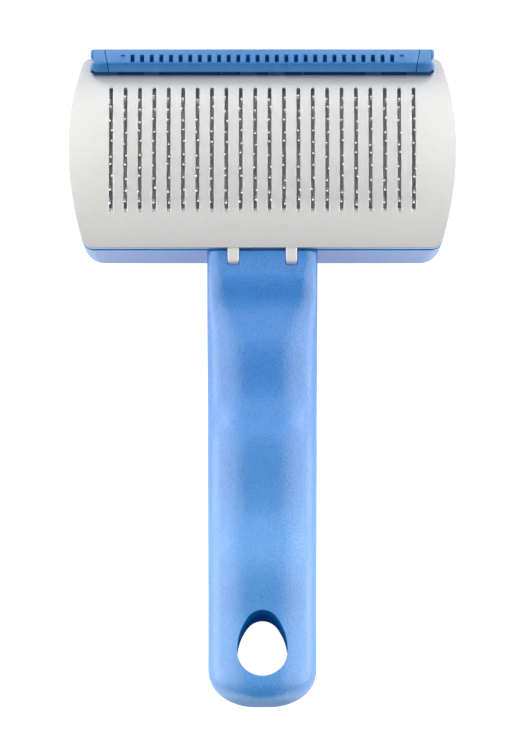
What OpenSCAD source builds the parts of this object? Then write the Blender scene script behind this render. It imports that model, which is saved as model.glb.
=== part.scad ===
// Slicker brush with a lifting, slotted stripper plate.
// It lies on its back: pins up along +Z, head towards +Y, the table at z = 0.

/* [Head] */
// Width of the head at its widest
head_w = 104.8; // [98:0.1:112]
// Length of the head, along the handle
head_l = 53; // [50:0.1:56]
// Radius of the bowed sides of the head
side_r = 83; // [75:1:120]
// Radius of the corners of the head
corner_r = 3; // [2.5:0.1:5]
// Height of the plate along its straight edges
edge_z = 20.5; // [19:0.1:24]
// Thickness of the tray's walls
wall = 2.2; // [1.8:0.1:2.6]
// Thickness of the tray's floor
floor_t = 2.4; // [2.2:0.1:3]
// Rounding of the back of the head
back_round = 3; // [2:0.1:4]
// Extra corner radius at the back of the tray
back_corner = 3; // [2:0.1:3.5]
// Narrowing of each side of the tray towards its back
side_draft = 1.1; // [0.5:0.1:1.2]

/* [Plate] */
// Radius of the plate's arched outer face
plate_r = 70; // [64:0.5:80]
// Thickness of the plate
plate_t = 1; // [0.8:0.1:1.2]
// Gap between the plate and the tray's rim
rim_gap = 0.3; // [0.25:0.05:0.6]
// Width of each slot
slot_w = 1.05; // [1:0.05:1.3]
// Distance between slots
slot_pitch = 3.89; // [3.7:0.01:4]
// Half the length of a slot, along the handle
slot_half = 17.4; // [16.8:0.1:18.2]
// Run of the sloped wall at the near end of a slot
slot_slope = 1.1; // [0.6:0.1:1.4]

/* [Pins] */
// Diameter of the pin wire
pin_d = 0.45; // [0.35:0.05:0.5]
// Diameter of the ball at each tip
tip_d = 0.62; // [0.5:0.02:0.7]
// Length of a pin above the plate
pin_len = 6.2; // [5:0.1:7]
// Lean of the pin above its knee, towards the handle
pin_lean = 16; // [8:1:18]
// Angle between rows of pins
row_angle = 2.43; // [2.2:0.01:2.5]
// Depth of the pad's face below the plate's outer face
pad_drop = 5; // [4:0.1:6]
// Thickness of the pad
pad_t = 2.5; // [2:0.1:3]

/* [Hinge] */
// Distance of each tab from the middle
tab_x = 7.85; // [7:0.05:9]
// Width of each tab
tab_w = 3; // [2.6:0.1:4]
// Reach of the curled tabs beyond the plate's lower edge
tab_reach = 4.5; // [4.3:0.1:5]
// Diameter of the hinge rod
rod_d = 1.44; // [1.2:0.02:1.6]
// Length of the hinge rod
rod_l = 25; // [23:0.5:26]

/* [Grip rail] */
// Distance from each side of the head to the rail's seam
rail_set = 10.2; // [9:0.1:12]
// Length of each end cap
cap_l = 4.4; // [3.5:0.1:4.8]
// Width of the rail over the plate, from its far face
rail_w = 7.55; // [7:0.05:8]
// Height of the rail's front wall above the plate
front_h = 2.3; // [2:0.1:2.6]
// Run of the sloped face above the front wall
face_w = 1.97; // [1.7:0.01:2.2]
// Radius of the lip round the plate's far edge
lip_r = 1.4; // [1.3:0.05:1.5]
// Number of notches along the rail
notch_n = 30; // [20:2:32]
// Distance from each seam to the middle of the first notch
notch_margin = 4.2; // [4:0.1:6]
// Width of each notch
notch_w = 1.1; // [0.8:0.1:1.4]

/* [Handle] */
// Length of the handle from the plate's lower edge
handle_l = 123.1; // [117:0.1:129]
// Width of the handle
handle_w = 29.4; // [28:0.1:31]
// Height of the flat pad beside the plate
pad_z = 19.7; // [19.5:0.1:20]
// Distance of each finger groove from the plate's lower edge
groove_s = [15.9, 40.1, 72.1]; // [12:0.1:80]
// Height of the handle in each finger groove
groove_z = [17.5, 17, 16.2]; // [16:0.1:18]
// Distance of each crest from the plate's lower edge
crest_s = [26.2, 52.6, 87.3]; // [20:0.1:92]
// Height of the handle on each crest
crest_z = [19.2, 18.7, 17.6]; // [17:0.1:20]
// Height of the handle at the hang hole
end_z = 15.4; // [14:0.1:17]
// Rise of the arched back under the palm
back_rise = 2; // [0.5:0.1:2.4]

/* [Hang hole] */
// Radius of the hole's wide end
hole_r = 6.7; // [5.5:0.1:7.5]
// Radius of the hole's narrow end
hole_top_r = 4.9; // [3:0.1:5.5]
// Distance between the centres of the two ends
hole_run = 6.2; // [5:0.1:9]
// Radius of the hole's bowed sides
hole_side_r = 14; // [12:1:40]

/* [Screws] */
// Diameter of the screws
screw_d = 2.4; // [2:0.1:2.8]
// Diameter of the screw heads
screw_head_d = 4.8; // [4.4:0.1:5.4]
// Height of the screw heads
screw_head_h = 1.2; // [1:0.1:1.3]
// Length of a screw under its head
screw_l = 8; // [6:0.5:9]

/* [Hidden] */
$fn = 64;

blue = [0.33, 0.59, 0.86];
deep_blue = [0.25, 0.5, 0.78];
steel = [0.86, 0.86, 0.85];
wire_steel = [0.75, 0.76, 0.78];
rubber = [0.3, 0.31, 0.33];
base_grey = [0.55, 0.57, 0.6];

columns = 22;
rows = 10;
shank_taper = 0.9;    // wire above the knee, against the wire in the pad
crown_taper = 0.8;    // wire across the back of a staple
fit = 0.03;           // running fit of the hinge rod
slack = 0.35;         // room round a part that swings
skin = 0.05;          // room between parts that are clipped together
big = 200;

// Places along Y: the brush is centred on its overall length
rail_over = 2.1;      // rail beyond the plate's far edge
far_y = (handle_l + head_l + rail_over) / 2;
plate_y0 = far_y - rail_over - head_l;
head_y = plate_y0 + head_l / 2;
end_y = plate_y0 - handle_l;

// Axis of the plate's arch, parallel to X
arch_z = edge_z - sqrt(plate_r * plate_r - head_l * head_l / 4);
tray_inset = 0.05;
rim_r = plate_r - plate_t - rim_gap;
bed_r = plate_r - pad_drop;
base_r = bed_r - pad_t;
base_inset = tray_inset + wall + 0.4;
pad_inset = base_inset + 0.7;

// Hinge: the tabs curl round the rod
curl_r = rod_d / 2 + fit + plate_t;
tab_z = pad_z + 0.1;
hinge_y = plate_y0 - tab_reach + curl_r;
hinge_z = tab_z - curl_r;
pad_edge = 0.6;       // flat pad stops this far short of the plate

// Rail: a thick bar over the plate and a lip round the plate's far edge
rail_l = head_w - 2 * rail_set;
notch_pitch = (rail_l - 2 * notch_margin) / (notch_n - 1);
foot_y = far_y - rail_w;
foot_z = arch_z + sqrt(pow(plate_r + skin, 2) - pow(foot_y - head_y, 2));
front_y = foot_y + 0.2 * front_h;
front_top = foot_z + front_h;
ridge_y = front_y + face_w;
ridge_z = front_top + face_w;
lip_y = far_y - lip_r;
lip_z = edge_z + 1.2;
skirt_z = 16.5;       // lower edge of the lip's skirt
peg_r = 0.8;
peg_y = ridge_y + 0.25;
peg_z = ridge_z - 2.5;
lobe_r = 1.75;
peg_l = 3.4;

// Handle sections
end_round = 10.3;
corner_n = 8;
plate_flats = 24;
arc_n = 20;
side_w = 7;           // width of the rounded front edges of the grip
pad_side = 2;         // width of the rounded front edges beside the flat pad
back_side = 5;

// Handle cover, let into the back
cover_w = 20;
cover_s0 = 13;
cover_s1 = 92;
cover_z = 4.4;        // inner face of the cover
ledge = 2;
cavity_z = 12.6;
cover_gap = 0.15;
cover_screw_s = [24, 81];
boss_r = 3;

base_screw_x = 0.323 * head_w;
base_screw_y = 0.226 * head_l;
screw_fit = 0.1;

// Hang hole: centre of its wide end
hole_edge = 6.7;      // wall between the hole and the end
hole_y = end_y + hole_edge + hole_r;

function at_arch(r, a) = [0, head_y + r * sin(a), arch_z + r * cos(a)];
function column_x(k) = (k - (columns + 1) / 2) * slot_pitch;
function row_a(j) = (j - (rows - 1) / 2) * row_angle;
function ease(t) = (1 - cos(180 * t)) / 2;
function track(marks, s, i = 0) =
    s <= marks[0][0] ? marks[0][1]
    : i + 1 >= len(marks) ? marks[i][1]
    : s <= marks[i + 1][0]
        ? marks[i][1] + (marks[i + 1][1] - marks[i][1])
            * ease((s - marks[i][0]) / (marks[i + 1][0] - marks[i][0]))
    : track(marks, s, i + 1);

// Turns a profile drawn in Y and Z into a bar along X
module along_x(x0, x1) {
    translate([x0, 0, 0])
        rotate([90, 0, 90])
            linear_extrude(x1 - x0)
                children();
}

// Points round the head's outline, drawn in by inset: bowed sides and round corners, which grow by extra_r
function arc(cx, cy, r, a0, a1, i0, i1, n) =
    [for (i = [i0:i1]) let (a = a0 + (a1 - a0) * i / n) [cx + r * cos(a), cy + r * sin(a)]];
function head_points(inset, extra_r = 0) =
    let (
        bow_r = side_r - inset,
        bow_x = head_w / 2 - side_r,
        round_r = max(1.5, corner_r + extra_r - inset),
        round_y = head_l / 2 - inset - round_r,
        turn = asin(round_y / (bow_r - round_r)),
        round_x = bow_x + (bow_r - round_r) * cos(turn),
        n = corner_n,
        bow_n = 12
    )
    concat(
        arc(bow_x, 0, bow_r, -turn, turn, 0, bow_n, bow_n),
        arc(round_x, round_y, round_r, turn, 90, 1, n, n),
        arc(-round_x, round_y, round_r, 90, 180 - turn, 0, n - 1, n),
        arc(-bow_x, 0, bow_r, 180 - turn, 180 + turn, 0, bow_n, bow_n),
        arc(-round_x, -round_y, round_r, 180 + turn, 270, 1, n, n),
        arc(round_x, -round_y, round_r, 270, 360 - turn, 0, n - 1, n)
    );

module head_prism(inset, z0, z1) {
    translate([0, head_y, z0])
        linear_extrude(z1 - z0)
            polygon(head_points(inset));
}

// The cylinder of the given radius about the axis of the plate's arch
module arch_cylinder(r) {
    along_x(-big / 2, big / 2)
        translate([head_y, arch_z])
            circle(r, $fn = 256);
}

// Closed solid through rings of points
module loft(rings) {
    m = len(rings[0]);
    n = len(rings);
    points = [for (r = rings) each r];
    sides = [for (i = [0:n - 2]) for (j = [0:m - 1])
        [i * m + j, (i + 1) * m + j, (i + 1) * m + (j + 1) % m, i * m + (j + 1) % m]];
    first_cap = [for (j = [0:m - 1]) j];
    last_cap = [for (j = [m - 1:-1:0]) (n - 1) * m + j];
    polyhedron(points, concat(sides, [first_cap, last_cap]), convexity = 8);
}

// Solid head with a rounded back, narrower at the back than along the rim
module head_block() {
    steps = 5;
    top_z = edge_z + plate_r / 2;
    back = [for (i = [steps:-1:0]) let (a = 90 * i / steps)
        [back_round * (1 - cos(a)), back_round * (1 - sin(a)), 1]];
    levels = concat(back, [[0, edge_z, 0], [0, top_z, 0]]);
    loft([for (l = levels) let (narrow = 1 - l[2] * side_draft / (head_w / 2))
        [for (p = head_points(tray_inset + l[0], l[2] * back_corner))
            [p[0] * narrow, head_y + p[1], l[1]]]]);
}

// Handle heights and widths at a distance s from the plate's lower edge
front_marks = [
    [7, pad_z],
    [groove_s[0], groove_z[0]],
    [crest_s[0], crest_z[0]],
    [groove_s[1], groove_z[1]],
    [crest_s[1], crest_z[1]],
    [groove_s[2], groove_z[2]],
    [crest_s[2], crest_z[2]],
    [handle_l - 20, end_z]
];
side_marks = [[1, pad_side], [13, side_w]];
width_marks = [[14, handle_w + 0.4], [50, handle_w], [100, handle_w - 0.3]];
palm_s = [10, handle_l - 18];

function front_z(s) = track(front_marks, s);
function back_z(s) =
    s <= palm_s[0] || s >= palm_s[1] ? 0
    : back_rise * pow(sin(180 * (s - palm_s[0]) / (palm_s[1] - palm_s[0])), 2);
function corner(cx, cz, rx, rz, a0) =
    [for (i = [0:corner_n]) let (a = a0 + 90 * i / corner_n) [cx + rx * cos(a), cz + rz * sin(a)]];
function section(s) =
    let (
        hw = track(width_marks, s) / 2,
        zf = front_z(s),
        zb = back_z(s),
        fw = track(side_marks, s),
        fh = fw * 0.95
    )
    concat(
        corner(hw - back_side, zb + back_side, back_side, back_side, -90),
        corner(hw - fw, zf - fh, fw, fh, 0),
        corner(fw - hw, zf - fh, fw, fh, 90),
        corner(back_side - hw, zb + back_side, back_side, back_side, 180)
    );
function shrink(t, p) = pow(1 - pow(t, p), 1 / p);
function ring(s, kx, kz) =
    let (mid = (front_z(s) + back_z(s)) / 2)
    [for (p = section(s)) [p[0] * kx, mid + (p[1] - mid) * kz]];

// Handle as rings of points: even steps along the grip, closer steps round the end
module handle_form() {
    s0 = -2.2;
    s1 = handle_l - end_round;
    grip_n = 44;
    end_n = 9;
    last = 0.993;
    grip = [for (i = [0:grip_n]) let (s = s0 + (s1 - s0) * i / grip_n)
        [for (p = ring(s, 1, 1)) [p[0], plate_y0 - s, p[1]]]];
    tip = [for (i = [1:end_n]) let (t = last * sin(90 * i / end_n))
        [for (p = ring(s1, shrink(t, 2.2), shrink(t, 3.2)))
            [p[0], plate_y0 - s1 - end_round * t / last, p[1]]]];
    loft(concat(grip, tip));
}

// Long rounded outline on the back of the handle, drawn in by inset
module cover_outline(inset) {
    r = cover_w / 2 - inset;
    y0 = plate_y0 - cover_s1 + cover_w / 2;
    y1 = plate_y0 - cover_s0 - cover_w / 2;
    polygon(concat(
        arc(0, y1, r, 0, 180, 0, arc_n, arc_n),
        arc(0, y0, r, 180, 360, 0, arc_n, arc_n)
    ));
}

// Egg-shaped outline: two round ends joined by bowed sides
module egg_outline() {
    side_d = hole_side_r - hole_r;
    top_d = hole_side_r - hole_top_r;
    bow_y = (side_d * side_d - top_d * top_d + hole_run * hole_run) / (2 * hole_run);
    bow_x = sqrt(side_d * side_d - bow_y * bow_y);
    low_a = atan2(-bow_y, bow_x);
    high_a = atan2(hole_run - bow_y, bow_x);
    n = arc_n;
    polygon(concat(
        arc(-bow_x, bow_y, hole_side_r, low_a, high_a, 0, n, n),
        arc(0, hole_run, hole_top_r, high_a, 180 - high_a, 1, n, n),
        arc(bow_x, bow_y, hole_side_r, 180 - high_a, 180 - low_a, 1, n, n),
        arc(0, 0, hole_r, 180 - low_a, 360 + low_a, 1, n - 1, n)
    ));
}

module screw_holes(places, z, depth) {
    for (p = places)
        translate([p[0], p[1], z])
            cylinder(d = screw_d + screw_fit, h = depth);
}

module head_recesses(places, z) {
    for (p = places)
        translate([p[0], p[1], z - big])
            cylinder(d = screw_head_d + 4 * screw_fit, h = big);
}

module screws(places, z) {
    for (p = places)
        translate([p[0], p[1], z]) {
            difference() {
                translate([0, 0, -screw_head_h])
                    cylinder(d = screw_head_d, h = screw_head_h);
                for (a = [0, 90])
                    rotate([0, 0, a])
                        cube([screw_head_d * 0.6, 0.6, screw_head_h * 1.2], center = true);
            }
            cylinder(d = screw_d, h = screw_l);
        }
}

base_screw_places = [for (sx = [-1, 1]) for (sy = [-1, 1])
    [sx * base_screw_x, head_y + sy * base_screw_y]];
cover_screw_places = [for (s = cover_screw_s) [0, plate_y0 - s]];
base_head_z = floor_t - 1;
cover_head_z = cover_z - 1;

// Tray for the pins and front of the handle, in one piece
module body_shell() {
    color(blue)
        difference() {
            union() {
                head_block();
                handle_form();
            }
            difference() {
                translate([-big / 2, plate_y0 - pad_edge, 0])
                    cube([big, big, big]);
                arch_cylinder(rim_r);
            }
            head_prism(tray_inset + wall, floor_t, big);
            translate([0, 0, -1])
                linear_extrude(cover_z + 1)
                    cover_outline(0);
            difference() {
                translate([0, 0, cover_z - 0.01])
                    linear_extrude(cavity_z - cover_z)
                        cover_outline(ledge);
                for (p = cover_screw_places)
                    translate([p[0], p[1], 0])
                        cylinder(r = boss_r, h = big);
            }
            screw_holes(cover_screw_places, cover_z - 1, screw_l);
            screw_holes(base_screw_places, -1, floor_t + 2);
            head_recesses(base_screw_places, base_head_z);
            translate([0, hole_y, -1])
                linear_extrude(big)
                    egg_outline();
            along_x(-rod_l / 2, rod_l / 2)
                translate([hinge_y, hinge_z])
                    circle(rod_d / 2 + fit);
            for (sx = [-1, 1])
                translate([sx * tab_x, hinge_y - curl_r - slack, hinge_z - curl_r - slack])
                    translate([-tab_w / 2 - slack, 0, 0])
                        cube([tab_w + 2 * slack, curl_r + slack + plate_y0 - hinge_y + wall, big]);
        }
}

// Back panel of the handle
module handle_cover() {
    color(deep_blue)
        difference() {
            intersection() {
                handle_form();
                translate([0, 0, -1])
                    linear_extrude(cover_z + 1)
                        cover_outline(cover_gap);
            }
            screw_holes(cover_screw_places, -1, big);
            head_recesses(cover_screw_places, cover_head_z);
        }
}

// Arched carrier under the pad, screwed down from the back of the tray
module pin_base() {
    color(base_grey)
        difference() {
            intersection() {
                head_prism(base_inset, floor_t, big);
                arch_cylinder(base_r);
            }
            difference() {
                intersection() {
                    head_prism(base_inset + wall, floor_t - 1, big);
                    arch_cylinder(base_r - wall);
                }
                for (p = base_screw_places)
                    translate([p[0], p[1], 0])
                        cylinder(r = boss_r, h = big);
            }
            screw_holes(base_screw_places, floor_t - 1, screw_l + 1);
        }
}

// Rubber sheet that holds the pins
module pin_pad() {
    color(rubber)
        difference() {
            intersection() {
                head_prism(pad_inset, floor_t, big);
                arch_cylinder(bed_r);
            }
            arch_cylinder(base_r);
        }
}

// Straight wire from p to q, a little over at both ends
module wire(p, q, d, over) {
    run = q - p;
    a = atan2(run[1], run[2]);
    translate(p)
        rotate([-a, 0, 0])
            translate([0, 0, -over])
                cylinder(d = d, h = norm(run) + 2 * over);
}

// One leg of a staple: straight through the pad, then bent towards the handle
module pin_leg(a, root_r) {
    knee = at_arch(plate_r, a);
    tip = knee + pin_len * [0, sin(a - pin_lean), cos(a - pin_lean)];
    wire(at_arch(root_r, a), knee, pin_d, 0.06);
    wire(knee, tip, pin_d * shank_taper, 0.03);
    translate(tip)
        sphere(d = tip_d);
}

// A column of staples, two pins to each
module pin_column(k) {
    root_r = base_r + pad_t / 3;
    color(wire_steel)
        translate([column_x(k), 0, 0])
            for (j = [0:2:rows - 1]) {
                pin_leg(row_a(j), root_r);
                pin_leg(row_a(j + 1), root_r);
                wire(at_arch(root_r, row_a(j)), at_arch(root_r, row_a(j + 1)), pin_d * crown_taper, 0.1);
            }
}

// Cutter for a slot: sloped near end, round far end
module slot_cutter() {
    near_y = -slot_half;
    near_z = sqrt(plate_r * plate_r - near_y * near_y);
    fall = 0.55 * slot_slope;
    low_z = near_z - 2.6;
    high_z = plate_r + 5;
    in_steps = (near_z - low_z) / fall;
    round_n = 8;
    r = slot_w / 2;
    intersection() {
        along_x(-slot_w, slot_w)
            translate([head_y, arch_z])
                polygon([
                    [near_y - 4 * slot_slope, near_z + 4 * fall],
                    [near_y + in_steps * slot_slope, low_z],
                    [slot_half + slot_w, low_z],
                    [slot_half + slot_w, high_z],
                    [near_y - 4 * slot_slope, high_z]
                ]);
        translate([0, head_y, 0])
            linear_extrude(big)
                polygon(concat(
                    arc(0, slot_half - r, r, 0, 180, 0, round_n, round_n),
                    [[-r, -plate_r], [r, -plate_r]]
                ));
    }
}

// Side view of a tab: down from the plate, flat, then curled round the rod
module tab_profile() {
    flat_z = tab_z - 0.005;
    root_z = edge_z - 0.4;
    difference() {
        union() {
            translate([hinge_y, hinge_z])
                circle(curl_r);
            polygon([
                [hinge_y, flat_z - plate_t],
                [plate_y0 - 1, flat_z - plate_t],
                [plate_y0 + 0.8, root_z],
                [plate_y0 + 0.8, root_z + 0.8],
                [plate_y0 - 1, flat_z],
                [hinge_y, flat_z]
            ]);
        }
        translate([hinge_y, hinge_z])
            circle(rod_d / 2 + fit);
        translate([hinge_y, hinge_z - 0.15])
            square([curl_r * 2, 0.3]);
    }
}

// Arched sheet in even flats, wider than the plate
module plate_sheet() {
    span = asin((head_l / 2 + 1) / plate_r);
    n = plate_flats;
    along_x(-head_w, head_w)
        polygon(concat(
            arc(head_y, arch_z, plate_r, 90 - span, 90 + span, 0, n, n),
            arc(head_y, arch_z, plate_r - plate_t, 90 + span, 90 - span, 0, n, n)
        ));
}

// Arched plate that strips hair off the pins when it is lifted
module stripper_plate() {
    color(steel) {
        difference() {
            intersection() {
                head_prism(0, 0, big);
                plate_sheet();
            }
            for (k = [1:columns])
                translate([column_x(k), 0, 0])
                    slot_cutter();
        }
        for (sx = [-1, 1])
            along_x(sx * tab_x - tab_w / 2, sx * tab_x + tab_w / 2)
                tab_profile();
    }
}

// Direction square to the notched top, which runs from the ridge to the lip
ridge = [ridge_y, ridge_z];
web_a = atan2(lip_y - ridge_y, ridge_z - lip_z) + asin(lip_r / norm([lip_y, lip_z] - ridge));
web_out = [cos(web_a), sin(web_a)];
web_top = [lip_y, lip_z] + web_out * lip_r;

// Cross-section of the rail: front wall, sloped face, notched top, lip and skirt
module rail_profile() {
    edge_y = plate_y0 + head_l;
    edge_a = acos((edge_y + skin - head_y) / (plate_r + skin));
    foot_a = acos((foot_y - head_y) / (plate_r + skin));
    n = arc_n;
    polygon(concat(
        [[front_y, front_top], ridge],
        arc(lip_y, lip_z, lip_r, web_a, 0, 0, n, n),
        [[far_y, skirt_z], [edge_y + slack, skirt_z]],
        [[edge_y + slack, edge_z - 0.2], [edge_y + skin, edge_z - 0.2]],
        arc(head_y, arch_z, plate_r + skin, edge_a, foot_a, 0, n, n)
    ));
}

// Room for the plate and for the rim below it
module plate_room() {
    intersection() {
        translate([head_y, arch_z])
            circle(plate_r + skin, $fn = 256);
        square([plate_y0 + head_l + skin, big]);
    }
}

module rail_peg(x0, x1, r) {
    along_x(x0, x1)
        translate([peg_y, peg_z])
            circle(r);
}

// Ribbed rail that the plate is lifted by
module grip_rail() {
    half = rail_l / 2;
    floor_a = 0.9;
    color(blue)
        difference() {
            along_x(-half, half)
                rail_profile();
            for (i = [0:notch_n - 1])
                translate([(i - (notch_n - 1) / 2) * notch_pitch - notch_w / 2, 0, 0])
                    along_x(0, notch_w)
                        notch_profile(floor_a);
            for (sx = [-1, 1])
                rail_peg(sx > 0 ? half - peg_l : -half - 1, sx > 0 ? half + 1 : peg_l - half, peg_r + skin);
        }
}

// Side view of a notch: cut into the sloping top, closed by the lip
module notch_profile(depth) {
    low = ridge + 0.08 * (web_top - ridge);
    high = ridge + 0.64 * (web_top - ridge);
    polygon([
        low + web_out * 4,
        low - web_out * depth,
        high - web_out * depth,
        high + web_out * 4
    ]);
}

// End cap, pegged into the rail
module rail_cap(sx) {
    x0 = rail_l / 2 + skin;
    x1 = rail_l / 2 + cap_l;
    lobe = 0.6;
    color(blue)
        mirror([sx < 0 ? 1 : 0, 0, 0]) {
            along_x(x0, x1 - lobe)
                rail_profile();
            difference() {
                along_x(x1 - lobe - 0.2, x1)
                    cap_lobes();
                along_x(x1 - lobe - 1, x1 + 1)
                    plate_room();
            }
            rail_peg(rail_l / 2 - peg_l + 0.3, x0 + 1, peg_r);
        }
}

module cap_lobes() {
    translate([peg_y, peg_z])
        circle(lobe_r);
    translate([lip_y, lip_z])
        circle(lip_r * 0.94);
}

module rail_cap_left() {
    rail_cap(-1);
}

module rail_cap_right() {
    rail_cap(1);
}

// Rod that the tabs turn on
module hinge_rod() {
    color(wire_steel)
        along_x(-rod_l / 2 + 0.2, rod_l / 2 - 0.2)
            translate([hinge_y, hinge_z])
                circle(rod_d / 2);
}

module base_screws() {
    color(wire_steel)
        screws(base_screw_places, base_head_z);
}

module cover_screws() {
    color(wire_steel)
        screws(cover_screw_places, cover_head_z);
}

body_shell();
handle_cover();
pin_base();
pin_pad();
stripper_plate();
grip_rail();
rail_cap_left();
rail_cap_right();
hinge_rod();
base_screws();
cover_screws();
pin_column(1);  // pin_column_01
pin_column(2);  // pin_column_02
pin_column(3);  // pin_column_03
pin_column(4);  // pin_column_04
pin_column(5);  // pin_column_05
pin_column(6);  // pin_column_06
pin_column(7);  // pin_column_07
pin_column(8);  // pin_column_08
pin_column(9);  // pin_column_09
pin_column(10);  // pin_column_10
pin_column(11);  // pin_column_11
pin_column(12);  // pin_column_12
pin_column(13);  // pin_column_13
pin_column(14);  // pin_column_14
pin_column(15);  // pin_column_15
pin_column(16);  // pin_column_16
pin_column(17);  // pin_column_17
pin_column(18);  // pin_column_18
pin_column(19);  // pin_column_19
pin_column(20);  // pin_column_20
pin_column(21);  // pin_column_21
pin_column(22);  // pin_column_22
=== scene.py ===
import math

import bmesh
import bpy
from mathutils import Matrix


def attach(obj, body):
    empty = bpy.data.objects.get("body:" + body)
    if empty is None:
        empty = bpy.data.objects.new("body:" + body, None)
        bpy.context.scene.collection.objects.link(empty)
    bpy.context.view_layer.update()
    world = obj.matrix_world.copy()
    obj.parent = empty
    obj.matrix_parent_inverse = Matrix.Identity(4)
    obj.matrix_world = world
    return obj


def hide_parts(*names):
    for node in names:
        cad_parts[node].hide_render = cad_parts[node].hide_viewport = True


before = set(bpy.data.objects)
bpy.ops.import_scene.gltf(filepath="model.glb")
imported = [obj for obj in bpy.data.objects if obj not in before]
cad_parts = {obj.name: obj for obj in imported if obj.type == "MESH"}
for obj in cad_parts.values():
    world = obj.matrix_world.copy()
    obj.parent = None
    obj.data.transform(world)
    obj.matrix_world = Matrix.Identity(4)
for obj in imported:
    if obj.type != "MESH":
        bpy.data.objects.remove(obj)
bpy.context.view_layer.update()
scene = bpy.context.scene
mm = 0.001
mergeDistance = 1e-7  # metres

# Outline of the head and arch of the plate, in millimetres as all sizes below
head = {
    "width": 104.8,
    "length": 53.0,
    "nearY": 34.0,
    "sideRadius": 83.0,
    "cornerRadius": 3.0,
    "leastRadius": 1.5,
    "edgeZ": 20.5,
    "plateRadius": 70.0,
    "plateThickness": 1.0,
}
headY = head["nearY"] + head["length"] / 2
archZ = head["edgeZ"] - math.sqrt(head["plateRadius"] ** 2 - (head["length"] / 2) ** 2)


def archHeight(radius, y):
    return archZ + math.sqrt(radius**2 - (y - headY) ** 2)


def track(marks, s):
    # smooth run through (place, value) marks
    if s <= marks[0][0]:
        return marks[0][1]
    for (s0, v0), (s1, v1) in zip(marks, marks[1:]):
        if s <= s1:
            t = (1 - math.cos(math.pi * (s - s0) / (s1 - s0))) / 2
            return v0 + (v1 - v0) * t
    return marks[-1][1]


def arc(cx, cy, rx, ry, start, end, count):
    turns = [math.radians(start + (end - start) * i / count) for i in range(count + 1)]
    return [(cx + rx * math.cos(a), cy + ry * math.sin(a)) for a in turns]


def between(p, q, count):
    # points from p to q without the ends
    return [tuple(a + (b - a) * i / count for a, b in zip(p, q)) for i in range(1, count)]


def headArcs(inset, extra=0.0):
    bow = head["sideRadius"] - inset
    bowX = head["width"] / 2 - head["sideRadius"]
    r = max(head["leastRadius"], head["cornerRadius"] + extra - inset)
    cy = head["length"] / 2 - inset - r
    turn = math.degrees(math.asin(cy / (bow - r)))
    cx = bowX + (bow - r) * math.cos(math.radians(turn))
    return bow, bowX, r, cx, cy, turn


def headOutline(inset, extra=0.0, bows=40, corners=10, straights=40):
    bow, bowX, r, cx, cy, turn = headArcs(inset, extra)
    ring = arc(bowX, 0, bow, bow, -turn, turn, bows)
    ring += arc(cx, cy, r, r, turn, 90, corners)[1:]
    ring += between((cx, cy + r), (-cx, cy + r), straights)
    ring += arc(-cx, cy, r, r, 90, 180 - turn, corners)[:-1]
    ring += arc(-bowX, 0, bow, bow, 180 - turn, 180 + turn, bows)
    ring += arc(-cx, -cy, r, r, 180 + turn, 270, corners)[1:]
    ring += between((-cx, -cy - r), (cx, -cy - r), straights)
    ring += arc(cx, -cy, r, r, 270, 360 - turn, corners)[:-1]
    return [(x, headY + y) for x, y in ring]


def loft(rings):
    count = len(rings[0])
    verts = [p for ring in rings for p in ring]
    faces = []
    for i in range(len(rings) - 1):
        low, high = i * count, (i + 1) * count
        for j in range(count):
            k = (j + 1) % count
            faces.append((low + j, high + j, high + k, low + k))
    faces.append(tuple(range(count)))
    faces.append(tuple(range(len(verts) - count, len(verts))))
    return verts, faces


def barX(xs, outline):
    return loft([[(x, y, z) for y, z in outline] for x in xs])


def joined(*parts):
    verts, faces = [], []
    for partVerts, partFaces in parts:
        start = len(verts)
        verts += partVerts
        faces += [tuple(i + start for i in f) for f in partFaces]
    return verts, faces


def finishMesh(mesh, sharp):
    work = bmesh.new()
    work.from_mesh(mesh)
    bmesh.ops.remove_doubles(work, verts=work.verts, dist=mergeDistance)
    bmesh.ops.dissolve_degenerate(work, edges=work.edges, dist=mergeDistance)
    bmesh.ops.recalc_face_normals(work, faces=work.faces)
    work.to_mesh(mesh)
    work.free()
    mesh.shade_smooth()
    mesh.set_sharp_from_angle(angle=math.radians(sharp))


def newPiece(name, shape, material=None, sharp=35):
    verts, faces = shape
    mesh = bpy.data.meshes.new(name)
    mesh.from_pydata([[c * mm for c in v] for v in verts], [], faces)
    if material:
        mesh.materials.append(material)
    finishMesh(mesh, sharp)
    piece = bpy.data.objects.new(name, mesh)
    scene.collection.objects.link(piece)
    return piece


def drop(piece):
    mesh = piece.data
    bpy.data.objects.remove(piece)
    bpy.data.meshes.remove(mesh)


def settle(piece, sharp=35):
    # replaces an object's mesh by the mesh its modifiers give
    view = bpy.context.evaluated_depsgraph_get()
    mesh = bpy.data.meshes.new_from_object(piece.evaluated_get(view))
    piece.modifiers.clear()
    old = piece.data
    piece.data = mesh
    bpy.data.meshes.remove(old)
    mesh.name = piece.name
    finishMesh(mesh, sharp)


def carve(piece, operation, *others):
    for other in others:
        step = piece.modifiers.new(operation, "BOOLEAN")
        step.operation = operation
        step.solver = "EXACT"
        step.object = other
    settle(piece)
    for other in others:
        drop(other)


def addNode(tree, kind, inputs=None, **settings):
    # a node with its settings, and its inputs given as values or as sockets to link
    node = tree.nodes.new(kind)
    for key, value in settings.items():
        setattr(node, key, value)
    for key, value in (inputs or {}).items():
        if isinstance(value, bpy.types.NodeSocket):
            tree.links.new(value, node.inputs[key])
        else:
            node.inputs[key].default_value = value
    return node


def newGroup(name, kind, inputs, outputs):
    tree = bpy.data.node_groups.new(name, kind)
    for socketName, socketType in inputs:
        tree.interface.new_socket(socketName, in_out="INPUT", socket_type=socketType)
    for socketName, socketType in outputs:
        tree.interface.new_socket(socketName, in_out="OUTPUT", socket_type=socketType)
    return tree, tree.nodes.new("NodeGroupInput").outputs, tree.nodes.new("NodeGroupOutput").inputs


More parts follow.
